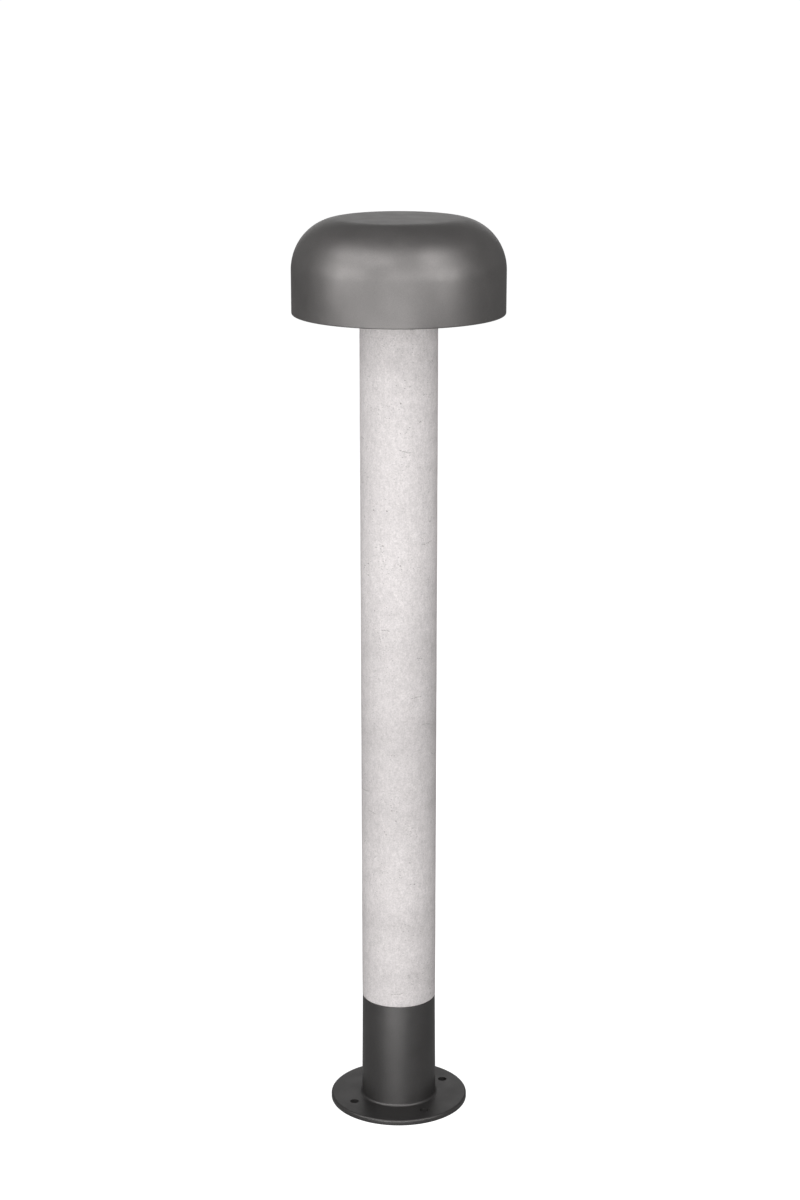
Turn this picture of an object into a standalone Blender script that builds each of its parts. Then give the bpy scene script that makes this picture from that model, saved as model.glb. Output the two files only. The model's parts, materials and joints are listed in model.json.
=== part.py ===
"""Bollard light: a cast mushroom head over a concrete column on a cast foot with a round flange.

A threaded steel tube runs up the middle. Two lock nuts on it squeeze the concrete sleeve between
the foot and the neck flange. The neck flange carries the gear tray with the lamp driver and the
LED board, the dome is screwed to the tray from below, and an opal ring closes the underside.
+Z is up, the origin is the centre of the foot's underside, and lengths are in metres.
"""

import math

import bmesh
import bpy
from mathutils import Matrix, Vector

MM = 0.001
GAP = 0.3 * MM  # between pieces that touch in the real light

# Driving dimensions
TOTAL_HEIGHT = 900.0 * MM
HEAD_RADIUS = 101.2 * MM
HEAD_RIM_Z = 811.0 * MM
HEAD_WALL = 3.0 * MM
SHOULDER_WIDTH = 46.5 * MM
SHOULDER_HEIGHT = 48.2 * MM
COLUMN_RADIUS = 37.25 * MM
COLUMN_BORE_RADIUS = 24.0 * MM
COLUMN_BOTTOM_Z = 115.4 * MM
COLUMN_TOP_Z = 832.0 * MM
COLUMN_EDGE = 0.8 * MM
FLANGE_RADIUS = 69.75 * MM
FLANGE_THICKNESS = 5.5 * MM
FLANGE_ROUND = 2.0 * MM
FOOT_SLEEVE_BASE_RADIUS = 37.9 * MM
FOOT_SLEEVE_TOP_RADIUS = 37.0 * MM
FOOT_CAVITY_RADIUS = 33.2 * MM
FOOT_WEB_THICKNESS = 6.0 * MM
FOOT_FILLET = 2.5 * MM
FOOT_LIP_RADIUS = FOOT_SLEEVE_TOP_RADIUS - 3.0 * MM  # inside the rim that hides the gasket
ANCHOR_CIRCLE_RADIUS = 52.3 * MM
ANCHOR_HOLE_RADIUS = 4.5 * MM
ANCHOR_COUNT = 4
TUBE_RADIUS = 21.2 * MM
TUBE_WALL = 2.6 * MM
TUBE_BOTTOM_Z = 86.0 * MM
TUBE_TOP_Z = 858.0 * MM
EDGE_ROUND = 1.0 * MM

# Gaskets and liner rings: thicknesses, and inner and outer radii
COLUMN_GASKET_BOTTOM = 3.4 * MM
COLUMN_GASKET_TOP = 2.4 * MM
DIFFUSER_GASKET = 2.9 * MM
OUTER_GASKET_RADII = (92.0 * MM, 96.6 * MM)
INNER_GASKET_RADII = (42.6 * MM, 45.6 * MM)
OUTER_REFLECTOR_RADII = (94.6 * MM, 96.6 * MM)
INNER_REFLECTOR_RADII = (46.4 * MM, 48.0 * MM)

# Head interior, from the opal ring upwards
DIFFUSER_Z = 821.5 * MM
DIFFUSER_THICKNESS = 3.0 * MM
DIFFUSER_RADIUS = 97.2 * MM
DIFFUSER_HOLE_RADIUS = 42.0 * MM
NECK_SKIRT_BOTTOM_Z = 818.0 * MM
NECK_SKIRT_RADIUS = 40.7 * MM
NECK_BORE_RADIUS = 37.7 * MM
NECK_RING_RADIUS = 46.0 * MM
NECK_PLATE_THICKNESS = 6.0 * MM
TRAY_THICKNESS = 3.0 * MM
TRAY_RADIUS = 97.7 * MM
TRAY_HOLE_RADIUS = 33.0 * MM
BOARD_THICKNESS = 1.6 * MM
BOARD_INNER_RADIUS = 50.0 * MM
BOARD_OUTER_RADIUS = 82.0 * MM
LED_COUNT = 12
LED_CIRCLE_RADIUS = 70.0 * MM
LED_SIDE = 5.0 * MM
LED_THICKNESS = 1.2 * MM

# Fasteners: thread radius, head radius and head height
M3 = (1.5 * MM, 2.8 * MM, 1.9 * MM)
M4 = (2.0 * MM, 3.8 * MM, 2.7 * MM)
M5 = (2.5 * MM, 4.2 * MM, 5.0 * MM)
THREAD_CLEARANCE = 0.4 * MM
TIP_CLEARANCE = 2.0 * MM  # between a screw's tip and the end of its hole
DRIVE_RECESS_SHARE = 0.4  # of the screw head's radius
NUT_HEX_RADIUS = 31.7 * MM
NUT_HEIGHT = 12.0 * MM
NUT_CORNER = 0.8 * MM
TOP_NUT_HEIGHT = 10.0 * MM
WASHER_THICKNESS = 2.7 * MM
WASHER_RADIUS = 31.0 * MM
TRAY_SCREW_COUNT = 3
TRAY_SCREW_CIRCLE_RADIUS = 89.5 * MM
BOSS_RADIUS = 4.5 * MM
BOSS_HOLE_DEPTH = 13.0 * MM
POST_COUNT = 3
POST_CIRCLE_RADIUS = 87.0 * MM
POST_HEX_RADIUS = 4.0 * MM
POST_STUD_LENGTH = 6.0 * MM
POST_HOLE_DEPTH = 11.0 * MM
NECK_SCREW_COUNT = 3
NECK_SCREW_CIRCLE_RADIUS = 41.8 * MM
NECK_SCREW_DEPTH = 10.0 * MM
BOARD_SCREW_COUNT = 3
BOARD_SCREW_CIRCLE_RADIUS = 56.0 * MM

# Electrical pieces
DRIVER_SIZE = Vector((70.0, 30.0, 21.0)) * MM
DRIVER_FOOT_SIZE = Vector((86.0, 22.0, 2.0)) * MM
DRIVER_Y = 59.0 * MM
DRIVER_SCREW_X = 39.5 * MM
TERMINAL_SIZE = Vector((22.0, 34.0, 13.0)) * MM
TERMINAL_X = 48.0 * MM
CONNECTOR_RADIUS = 11.5 * MM
CONNECTOR_BOTTOM_Z = 34.0 * MM
CONNECTOR_TOP_Z = 62.0 * MM
CONNECTOR_NUT_RADIUS = 10.5 * MM
CONNECTOR_NUT_LENGTH = 11.7 * MM
CONNECTOR_CORNER = 0.6 * MM
SUPPLY_INLET_RADIUS = 4.2 * MM
CABLE_RADIUS = 3.0 * MM
LEAD_RADIUS = 1.5 * MM
EARTH_LEAD_RADIUS = 1.2 * MM
GROMMET_HEIGHT = 4.0 * MM
GROMMET_BORE_RADIUS = CABLE_RADIUS + 1.2 * MM
LEAD_HOLE_RADIUS = 3.0 * MM
LEAD_HOLE_X = -51.0 * MM
EARTH_SCREW_AT = Vector((48.0, -42.0)) * MM

# Sides of the round pieces
FINE = 48
MEDIUM = 32
COARSE = 24
SMALL = 12
SHOULDER_STEPS = 8
ROUND_STEPS = 2
SMOOTH_ANGLE = math.radians(35)
ROD_TURN = math.radians(5)  # keeps a hole's corners off the radial edges of the ring it is cut in

# Heights worked out from the driving dimensions
FOOT_TOP_Z = COLUMN_BOTTOM_Z - GAP
FOOT_WEB_TOP_Z = FOOT_TOP_Z - COLUMN_GASKET_BOTTOM - GAP
FOOT_WEB_BOTTOM_Z = FOOT_WEB_TOP_Z - FOOT_WEB_THICKNESS
TUBE_CLEAR_RADIUS = TUBE_RADIUS + THREAD_CLEARANCE
NECK_PLATE_Z = COLUMN_TOP_Z + COLUMN_GASKET_TOP + 2 * GAP
NECK_TOP_Z = NECK_PLATE_Z + NECK_PLATE_THICKNESS
DIFFUSER_TOP_Z = DIFFUSER_Z + DIFFUSER_THICKNESS
CHAMBER_FLOOR_Z = DIFFUSER_TOP_Z + DIFFUSER_GASKET + 2 * GAP
TRAY_Z = NECK_TOP_Z + GAP
TRAY_TOP_Z = TRAY_Z + TRAY_THICKNESS
BOARD_Z = TRAY_Z - GAP - BOARD_THICKNESS

# Colour, roughness and metallic value of each finish
FINISHES = {
    "head_coat": ((0.135, 0.130, 0.128), 0.42, 0.35),
    "foot_coat": ((0.070, 0.068, 0.066), 0.45, 0.35),
    "concrete": ((0.640, 0.610, 0.590), 0.85, 0.0),
    "opal": ((0.880, 0.880, 0.860), 0.35, 0.0),
    "white_plastic": ((0.820, 0.820, 0.800), 0.50, 0.0),
    "black_plastic": ((0.030, 0.030, 0.032), 0.50, 0.0),
    "board_mask": ((0.780, 0.790, 0.770), 0.40, 0.0),
    "phosphor": ((0.850, 0.700, 0.180), 0.30, 0.0),
    "aluminium": ((0.720, 0.720, 0.730), 0.38, 1.0),
    "galvanised": ((0.520, 0.530, 0.540), 0.45, 1.0),
    "stainless": ((0.600, 0.600, 0.600), 0.28, 1.0),
    "rubber": ((0.025, 0.025, 0.025), 0.75, 0.0),
    "earth_green": ((0.200, 0.420, 0.060), 0.50, 0.0),
}


# ---------------------------------------------------------------- helpers


def clear_scene():
    for obj in list(bpy.data.objects):
        bpy.data.objects.remove(obj)


def new_collection(name):
    collection = bpy.data.collections.new(name)
    bpy.context.scene.collection.children.link(collection)
    return collection


def finish(obj, kind):
    """Gives the object its own Principled material in this finish, and shades round faces smooth."""
    colour, roughness, metallic = FINISHES[kind]
    material = bpy.data.materials.new(obj.name + "_" + kind)
    material.use_nodes = True
    shader = material.node_tree.nodes["Principled BSDF"]
    shader.inputs["Base Color"].default_value = (*colour, 1.0)
    shader.inputs["Roughness"].default_value = roughness
    shader.inputs["Metallic"].default_value = metallic
    obj.data.materials.append(material)
    return obj


def add_mesh(name, bm, collection):
    mesh = bpy.data.meshes.new(name)
    bm.to_mesh(mesh)
    bm.free()
    obj = bpy.data.objects.new(name, mesh)
    collection.objects.link(obj)
    return obj


def shade_round(obj):
    obj.data.shade_smooth()
    obj.data.set_sharp_from_angle(angle=SMOOTH_ANGLE)


def arc(centre, radii, start, end, steps):
    """Points of an elliptical arc in the (radius, height) plane, with angles in degrees from +X."""
    points = []
    for step in range(steps + 1):
        angle = math.radians(start + (end - start) * step / steps)
        point = (centre[0] + radii[0] * math.cos(angle), centre[1] + radii[1] * math.sin(angle))
        points.append(point)
    return points


def turned(name, outline, collection, sides=MEDIUM, centre=(0.0, 0.0)):
    """A turned piece. The outline is (radius, height) points, down the outer side and up the inner."""
    bm = bmesh.new()
    verts = [bm.verts.new((radius, 0.0, height)) for radius, height in outline]
    for first, second in zip(verts, verts[1:]):
        bm.edges.new((first, second))
    if outline[0][0] > 0 or outline[-1][0] > 0:
        bm.edges.new((verts[-1], verts[0]))
    obj = add_mesh(name, bm, collection)
    obj.location = (*centre, 0.0)
    screw = obj.modifiers.new("turn", "SCREW")
    screw.axis = "Z"
    screw.angle = math.tau
    screw.steps = sides
    screw.render_steps = sides
    screw.use_merge_vertices = True
    screw.merge_threshold = 0.01 * MM
    screw.use_smooth_shade = True
    return obj


def ring(name, inner, outer, bottom, top, collection, sides=MEDIUM):
    outline = [(outer, top), (outer, bottom), (inner, bottom), (inner, top)]
    return turned(name, outline, collection, sides)


def rods(name, centres, radius, bottom, top, collection, sides=SMALL):
    """One mesh of upright rods, a cylinder or with few sides a prism at each centre."""
    bm = bmesh.new()
    for x, y in centres:
        place = Matrix.Translation((x, y, (bottom + top) / 2)) @ Matrix.Rotation(ROD_TURN, 4, "Z")
        bmesh.ops.create_cone(
            bm,
            cap_ends=True,
            segments=sides,
            radius1=radius,
            radius2=radius,
            depth=top - bottom,
            matrix=place,
        )
    return add_mesh(name, bm, collection)


def box(name, size, centre, collection, turn=0.0, edge=0.0):
    bm = bmesh.new()
    bmesh.ops.create_cube(bm, size=1.0)
    bmesh.ops.scale(bm, vec=size, verts=bm.verts)
    obj = add_mesh(name, bm, collection)
    obj.location = centre
    obj.rotation_euler = (0.0, 0.0, turn)
    if edge > 0:
        bevel = obj.modifiers.new("edges", "BEVEL")
        bevel.width = edge
        bevel.segments = 2
    return obj


def boolean(obj, other, operation):
    """Cuts or joins a helper object, which stays hidden in renders."""
    other.hide_render = True
    other.display_type = "WIRE"
    modifier = obj.modifiers.new(operation.lower() + "_" + other.name, "BOOLEAN")
    modifier.object = other
    modifier.operation = operation
    modifier.solver = "EXACT"


def polar(radius, angle):
    return (radius * math.cos(angle), radius * math.sin(angle))


def round_places(count, radius, first=0.0):
    return [polar(radius, first + math.tau * index / count) for index in range(count)]


def screw_up(name, place, size, seat, tip, collection):
    """A screw driven upwards: its head hangs below the seat and its thread ends at the tip."""
    thread, head, height = size
    recess = head * DRIVE_RECESS_SHARE
    outline = [
        (0.0, tip),
        (thread, tip),
        (thread, seat),
        (head, seat),
        (head * 0.9, seat - height),
        (recess, seat - height),
        (recess, seat - height * 0.45),
        (0.0, seat - height * 0.45),
    ]
    return turned(name, outline, collection, SMALL, place)


def screw_down(name, place, size, seat, tip, collection):
    """A screw driven downwards: its head stands on the seat and its thread ends at the tip."""
    thread, head, height = size
    recess = head * DRIVE_RECESS_SHARE
    outline = [
        (0.0, seat + height * 0.45),
        (recess, seat + height * 0.45),
        (recess, seat + height),
        (head * 0.9, seat + height),
        (head, seat),
        (thread, seat),
        (thread, tip),
        (0.0, tip),
    ]
    return turned(name, outline, collection, SMALL, place)


def smooth_route(points, spacing):
    """Evenly spaced points along a Catmull-Rom curve through these points."""
    corners = [Vector(point) for point in points]
    corners = [corners[0] * 2 - corners[1], *corners, corners[-1] * 2 - corners[-2]]
    dense = [corners[1]]
    for before, start, end, after in zip(corners, corners[1:], corners[2:], corners[3:]):
        steps = max(2, round((end - start).length / (0.2 * spacing)))
        for step in range(1, steps + 1):
            t = step / steps
            point = 2 * start + (end - before) * t
            point += (2 * before - 5 * start + 4 * end - after) * t**2
            point += (3 * start - before - 3 * end + after) * t**3
            dense.append(point / 2)
    # A short first and last segment keeps the two caps square to the route.
    length = sum((b - a).length for a, b in zip(dense, dense[1:]))
    count = max(2, round(length / spacing))
    route = [dense[0], dense[1]]
    travelled = 0.0
    for a, b in zip(dense[1:-2], dense[2:-1]):
        travelled += (b - a).length
        if travelled >= length * (len(route) - 1) / count:
            route.append(b)
    if (route[-1] - dense[-1]).length < 0.5 * spacing:
        route.pop()
    return [*route, dense[-2], dense[-1]]


def cable(name, points, radius, collection):
    curve = bpy.data.curves.new(name, "CURVE")
    curve.dimensions = "3D"
    curve.bevel_depth = radius
    curve.bevel_resolution = 2
    curve.use_fill_caps = True
    route = smooth_route(points, 5 * radius)
    spline = curve.splines.new("POLY")
    spline.points.add(len(route) - 1)
    for point, place in zip(spline.points, route):
        point.co = (*place, 1.0)
    obj = bpy.data.objects.new(name, curve)
    collection.objects.link(obj)
    return obj


# ---------------------------------------------------------------- foot and column


def foot_casting(parts, cutters):
    """Flange, tapered sleeve and inner web in one casting, open below, with a rim round the gasket."""
    rim = (FLANGE_RADIUS - FLANGE_ROUND, FLANGE_THICKNESS - FLANGE_ROUND)
    fillet_centre = (FOOT_SLEEVE_BASE_RADIUS + FOOT_FILLET, FLANGE_THICKNESS + FOOT_FILLET)
    half = 0.5 * EDGE_ROUND
    outline = [
        *arc((FOOT_SLEEVE_TOP_RADIUS - half, FOOT_TOP_Z - half), (half, half), 90, 0, 1),
        *arc(fillet_centre, (FOOT_FILLET, FOOT_FILLET), 180, 270, 3),
        *arc(rim, (FLANGE_ROUND, FLANGE_ROUND), 90, 0, ROUND_STEPS),
        *arc((FLANGE_RADIUS - half, half), (half, half), 0, -90, 1),
        (FOOT_CAVITY_RADIUS + half, 0.0),
        (FOOT_CAVITY_RADIUS, half),
        (FOOT_CAVITY_RADIUS, FOOT_WEB_BOTTOM_Z),
        (TUBE_CLEAR_RADIUS, FOOT_WEB_BOTTOM_Z),
        (TUBE_CLEAR_RADIUS, FOOT_WEB_TOP_Z),
        (FOOT_LIP_RADIUS, FOOT_WEB_TOP_Z),
        (FOOT_LIP_RADIUS, FOOT_TOP_Z),
    ]
    casting = turned("foot_casting", outline, parts, FINE)
    places = round_places(ANCHOR_COUNT, ANCHOR_CIRCLE_RADIUS, math.radians(45))
    holes = rods("anchor_holes", places, ANCHOR_HOLE_RADIUS, -MM, FLANGE_THICKNESS + MM, cutters)
    boolean(casting, holes, "DIFFERENCE")
    finish(casting, "foot_coat")


def core_tube(parts):
    """Threaded steel tube that holds the light together and carries the cable."""
    inner = TUBE_RADIUS - TUBE_WALL
    tube = ring("core_tube", inner, TUBE_RADIUS, TUBE_BOTTOM_Z, TUBE_TOP_Z, parts, COARSE)
    finish(tube, "galvanised")


def lock_nut(name, bottom, height, parts, cutters):
    nut = rods(name, [(0.0, 0.0)], NUT_HEX_RADIUS, bottom, bottom + height, parts, 6)
    bevel = nut.modifiers.new("corners", "BEVEL")
    bevel.width = NUT_CORNER
    bevel.segments = 1
    bore = rods(
        name + "_bore", [(0.0, 0.0)], TUBE_CLEAR_RADIUS, bottom - MM, bottom + height + MM, cutters, COARSE
    )
    boolean(nut, bore, "DIFFERENCE")
    finish(nut, "galvanised")


def clamp_pieces(parts, cutters):
    """Washer and lock nut below the foot's web and above the neck flange."""
    washer_z = FOOT_WEB_BOTTOM_Z - GAP - WASHER_THICKNESS
    washer = ring(
        "foot_washer", TUBE_CLEAR_RADIUS, WASHER_RADIUS, washer_z, washer_z + WASHER_THICKNESS, parts, COARSE
    )
    finish(washer, "galvanised")
    lock_nut("foot_lock_nut", washer_z - GAP - NUT_HEIGHT, NUT_HEIGHT, parts, cutters)
    washer_z = NECK_TOP_Z + GAP
    washer = ring(
        "neck_washer", TUBE_CLEAR_RADIUS, WASHER_RADIUS, washer_z, washer_z + WASHER_THICKNESS, parts, COARSE
    )
    finish(washer, "galvanised")
    lock_nut("neck_lock_nut", washer_z + WASHER_THICKNESS + GAP, TOP_NUT_HEIGHT, parts, cutters)


def concrete_sleeve(parts):
    """The cast concrete column, a thick pipe with slightly rounded outer edges."""
    edge = (COLUMN_EDGE, COLUMN_EDGE)
    side = COLUMN_RADIUS - COLUMN_EDGE
    outline = [
        *arc((side, COLUMN_TOP_Z - COLUMN_EDGE), edge, 90, 0, 1),
        *arc((side, COLUMN_BOTTOM_Z + COLUMN_EDGE), edge, 0, -90, 1),
        (COLUMN_BORE_RADIUS, COLUMN_BOTTOM_Z),
        (COLUMN_BORE_RADIUS, COLUMN_TOP_Z),
    ]
    finish(turned("concrete_sleeve", outline, parts, FINE), "concrete")


def column_gaskets(parts):
    """Flat rubber rings under and over the concrete, set back from its outside."""
    inner = COLUMN_BORE_RADIUS + MM
    outer = FOOT_LIP_RADIUS - GAP
    bottom = FOOT_WEB_TOP_Z + GAP
    low = ring("foot_gasket", inner, outer, bottom, bottom + COLUMN_GASKET_BOTTOM - GAP, parts, COARSE)
    finish(low, "rubber")
    bottom = COLUMN_TOP_Z + GAP
    high = ring(
        "neck_gasket", inner, COLUMN_RADIUS - MM, bottom, bottom + COLUMN_GASKET_TOP, parts, COARSE
    )
    finish(high, "rubber")


# ---------------------------------------------------------------- supply connector in the foot


def connector_nut(name, bottom, top, bore, parts, cutters):
    nut = rods(name, [(0.0, 0.0)], CONNECTOR_NUT_RADIUS, bottom, top, parts, 8)
    bevel = nut.modifiers.new("corners", "BEVEL")
    bevel.width = CONNECTOR_CORNER
    bevel.segments = 1
    if bore:
        hole = rods(name + "_bore", [(0.0, 0.0)], SUPPLY_INLET_RADIUS, bottom - MM, top - 2 * MM, cutters)
        boolean(nut, hole, "DIFFERENCE")
    finish(nut, "black_plastic")


def connector(parts, cutters):
    """Waterproof in-line connector with a gland nut at each end; the lower one takes the supply cable."""
    outline = [
        (0.0, CONNECTOR_TOP_Z),
        (CONNECTOR_RADIUS - MM, CONNECTOR_TOP_Z),
        (CONNECTOR_RADIUS, CONNECTOR_TOP_Z - MM),
        (CONNECTOR_RADIUS, CONNECTOR_BOTTOM_Z + MM),
        (CONNECTOR_RADIUS - MM, CONNECTOR_BOTTOM_Z),
        (0.0, CONNECTOR_BOTTOM_Z),
    ]
    finish(turned("connector_body", outline, parts, COARSE), "black_plastic")
    top = CONNECTOR_TOP_Z + GAP
    connector_nut("connector_upper_nut", top, top + CONNECTOR_NUT_LENGTH, False, parts, cutters)
    bottom = CONNECTOR_BOTTOM_Z - GAP
    connector_nut("connector_inlet_nut", bottom - CONNECTOR_NUT_LENGTH, bottom, True, parts, cutters)


# ---------------------------------------------------------------- head structure


def neck_flange(parts, cutters):
    """Cap on the column: a skirt round the concrete, a ring for the inner gasket and a plate."""
    outline = [
        (NECK_RING_RADIUS, NECK_TOP_Z),
        (NECK_RING_RADIUS, CHAMBER_FLOOR_Z),
        (NECK_SKIRT_RADIUS, CHAMBER_FLOOR_Z),
        (NECK_SKIRT_RADIUS, NECK_SKIRT_BOTTOM_Z + 0.5 * MM),
        (NECK_SKIRT_RADIUS - 0.5 * MM, NECK_SKIRT_BOTTOM_Z),
        (NECK_BORE_RADIUS, NECK_SKIRT_BOTTOM_Z),
        (NECK_BORE_RADIUS, NECK_PLATE_Z),
        (TUBE_CLEAR_RADIUS, NECK_PLATE_Z),
        (TUBE_CLEAR_RADIUS, NECK_TOP_Z),
    ]
    flange = turned("neck_flange", outline, parts)
    radius = M5[0] + THREAD_CLEARANCE
    bottom = NECK_TOP_Z - NECK_SCREW_DEPTH - MM
    holes = rods("neck_screw_holes", neck_screw_places(), radius, bottom, NECK_TOP_Z + MM, cutters)
    boolean(flange, holes, "DIFFERENCE")
    finish(flange, "foot_coat")


def neck_screw_places():
    return round_places(NECK_SCREW_COUNT, NECK_SCREW_CIRCLE_RADIUS, math.radians(60))


def tray_screw_places():
    return round_places(TRAY_SCREW_COUNT, TRAY_SCREW_CIRCLE_RADIUS, math.radians(30))


def post_places():
    return round_places(POST_COUNT, POST_CIRCLE_RADIUS, math.radians(90))


def board_screw_places():
    return round_places(BOARD_SCREW_COUNT, BOARD_SCREW_CIRCLE_RADIUS, math.radians(30))


def led_lead_place():
    return (LEAD_HOLE_X, DRIVER_Y)


def head_shell(parts, cutters):
    """The dome: flat top, round shoulder, straight wall, and bosses for the tray screws inside."""
    flat = HEAD_RADIUS - SHOULDER_WIDTH
    shoulder = (flat, TOTAL_HEIGHT - SHOULDER_HEIGHT)
    outer = (SHOULDER_WIDTH, SHOULDER_HEIGHT)
    inner = (SHOULDER_WIDTH - HEAD_WALL, SHOULDER_HEIGHT - HEAD_WALL)
    rim_round = 0.5 * HEAD_WALL
    rim_centre = (HEAD_RADIUS - rim_round, HEAD_RIM_Z + rim_round)
    outline = [
        (0.0, TOTAL_HEIGHT),
        *arc(shoulder, outer, 90, 0, SHOULDER_STEPS),
        *arc(rim_centre, (rim_round, rim_round), 0, -180, 4),
        *arc(shoulder, inner, 0, 90, SHOULDER_STEPS),
        (0.0, TOTAL_HEIGHT - HEAD_WALL),
    ]
    shell = turned("head_shell", outline, parts, FINE)
    reach = TRAY_SCREW_CIRCLE_RADIUS - flat
    ceiling = shoulder[1] + inner[1] * math.sqrt(1 - (reach / inner[0]) ** 2) - HEAD_WALL
    bottom = TRAY_TOP_Z + GAP
    places = tray_screw_places()
    bosses = rods("dome_bosses", places, BOSS_RADIUS, bottom, ceiling, cutters)
    radius = M4[0] + THREAD_CLEARANCE
    holes = rods("boss_holes", places, radius, bottom - MM, bottom + BOSS_HOLE_DEPTH, cutters)
    boolean(shell, bosses, "UNION")
    boolean(shell, holes, "DIFFERENCE")
    finish(shell, "head_coat")


def gear_tray(parts, cutters):
    """Aluminium plate that carries the gear above and the LED board below, and takes away heat."""
    tray = ring("gear_tray", TRAY_HOLE_RADIUS, TRAY_RADIUS, TRAY_Z, TRAY_TOP_Z, parts, FINE)
    m3, m4, m5 = (thread[0] + THREAD_CLEARANCE for thread in (M3, M4, M5))
    drilled = [
        (m4, [*tray_screw_places(), *post_places(), tuple(EARTH_SCREW_AT)]),
        (m3, [*board_screw_places(), *driver_screw_places()]),
        (m5, neck_screw_places()),
        (LEAD_HOLE_RADIUS, [led_lead_place()]),
    ]
    for radius, places in drilled:
        name = f"tray_holes_{1000 * radius:.1f}_mm"
        boolean(tray, rods(name, places, radius, TRAY_Z - MM, TRAY_TOP_Z + MM, cutters), "DIFFERENCE")
    finish(tray, "aluminium")


def head_screws(parts):
    """The screws that hold the tray to the dome and to the neck flange."""
    tip = TRAY_TOP_Z + BOSS_HOLE_DEPTH - TIP_CLEARANCE
    for number, place in enumerate(tray_screw_places(), 1):
        screw = screw_up(f"tray_screw_{number}", place, M4, TRAY_Z - GAP, tip, parts)
        finish(screw, "stainless")
    tip = NECK_TOP_Z - NECK_SCREW_DEPTH
    for number, place in enumerate(neck_screw_places(), 1):
        screw = screw_down(f"neck_screw_{number}", place, M5, TRAY_TOP_Z + GAP, tip, parts)
        finish(screw, "stainless")


# ---------------------------------------------------------------- light chamber


def diffuser(parts, cutters):
    """Opal ring that closes the head from below."""
    edge = 0.5 * MM
    outline = [
        (DIFFUSER_RADIUS, DIFFUSER_TOP_Z),
        (DIFFUSER_RADIUS, DIFFUSER_Z + edge),
        (DIFFUSER_RADIUS - edge, DIFFUSER_Z),
        (DIFFUSER_HOLE_RADIUS + edge, DIFFUSER_Z),
        (DIFFUSER_HOLE_RADIUS, DIFFUSER_Z + edge),
        (DIFFUSER_HOLE_RADIUS, DIFFUSER_TOP_Z),
    ]
    cover = turned("diffuser", outline, parts, FINE)
    radius = M3[0] + THREAD_CLEARANCE
    holes = rods("diffuser_screw_holes", post_places(), radius, DIFFUSER_Z - MM, DIFFUSER_TOP_Z + MM, cutters)
    boolean(cover, holes, "DIFFERENCE")
    finish(cover, "opal")


def diffuser_posts(parts, cutters):
    """Hexagon spacers from the tray down to the opal ring, and the screws that hold it to them."""
    places = post_places()
    for number, place in enumerate(places, 1):
        bottom, top = DIFFUSER_TOP_Z + GAP, TRAY_Z - GAP
        post = rods(f"diffuser_post_{number}", [place], POST_HEX_RADIUS, bottom, top, parts, 6)
        stud = rods(
            f"post_stud_{number}", [place], M4[0], top - MM, TRAY_TOP_Z + POST_STUD_LENGTH, cutters
        )
        thread = M3[0] + THREAD_CLEARANCE
        hole = rods(f"post_hole_{number}", [place], thread, bottom - MM, bottom + POST_HOLE_DEPTH, cutters)
        boolean(post, stud, "UNION")
        boolean(post, hole, "DIFFERENCE")
        finish(post, "stainless")
        tip = bottom + POST_HOLE_DEPTH - TIP_CLEARANCE
        screw = screw_up(f"diffuser_screw_{number}", place, M3, DIFFUSER_Z - GAP, tip, parts)
        finish(screw, "stainless")


def chamber_rings(parts):
    """Gaskets on the opal ring and the white rings that line the light chamber."""
    bottom = DIFFUSER_TOP_Z + GAP
    top = bottom + DIFFUSER_GASKET
    outer_gasket = ring("outer_diffuser_gasket", *OUTER_GASKET_RADII, bottom, top, parts)
    inner_gasket = ring("inner_diffuser_gasket", *INNER_GASKET_RADII, bottom, top, parts)
    finish(outer_gasket, "rubber")
    finish(inner_gasket, "rubber")
    top = TRAY_Z - GAP
    outer_liner = ring("outer_reflector", *OUTER_REFLECTOR_RADII, CHAMBER_FLOOR_Z, top, parts)
    inner_liner = ring("inner_reflector", *INNER_REFLECTOR_RADII, CHAMBER_FLOOR_Z, top, parts)
    finish(outer_liner, "white_plastic")
    finish(inner_liner, "white_plastic")


def led_board(parts, cutters):
    """Ring-shaped circuit board screwed under the tray, with the LEDs on it."""
    board = ring(
        "led_board", BOARD_INNER_RADIUS, BOARD_OUTER_RADIUS, BOARD_Z, BOARD_Z + BOARD_THICKNESS, parts
    )
    radius = M3[0] + THREAD_CLEARANCE
    holes = rods("board_screw_holes", board_screw_places(), radius, BOARD_Z - MM, TRAY_Z, cutters)
    boolean(board, holes, "DIFFERENCE")
    finish(board, "board_mask")
    for number, place in enumerate(board_screw_places(), 1):
        screw = screw_up(f"board_screw_{number}", place, M3, BOARD_Z - GAP, TRAY_TOP_Z + MM, parts)
        finish(screw, "stainless")
    size = Vector((LED_SIDE, LED_SIDE, LED_THICKNESS))
    height = BOARD_Z - GAP - 0.5 * LED_THICKNESS
    for index in range(LED_COUNT):
        angle = math.tau * (index + 0.5) / LED_COUNT
        centre = (*polar(LED_CIRCLE_RADIUS, angle), height)
        led = box(f"led_{index + 1:02d}", size, centre, parts, turn=angle)
        finish(led, "phosphor")


# ---------------------------------------------------------------- gear and wiring


def driver_screw_places():
    return [(-DRIVER_SCREW_X, DRIVER_Y), (DRIVER_SCREW_X, DRIVER_Y)]


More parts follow.
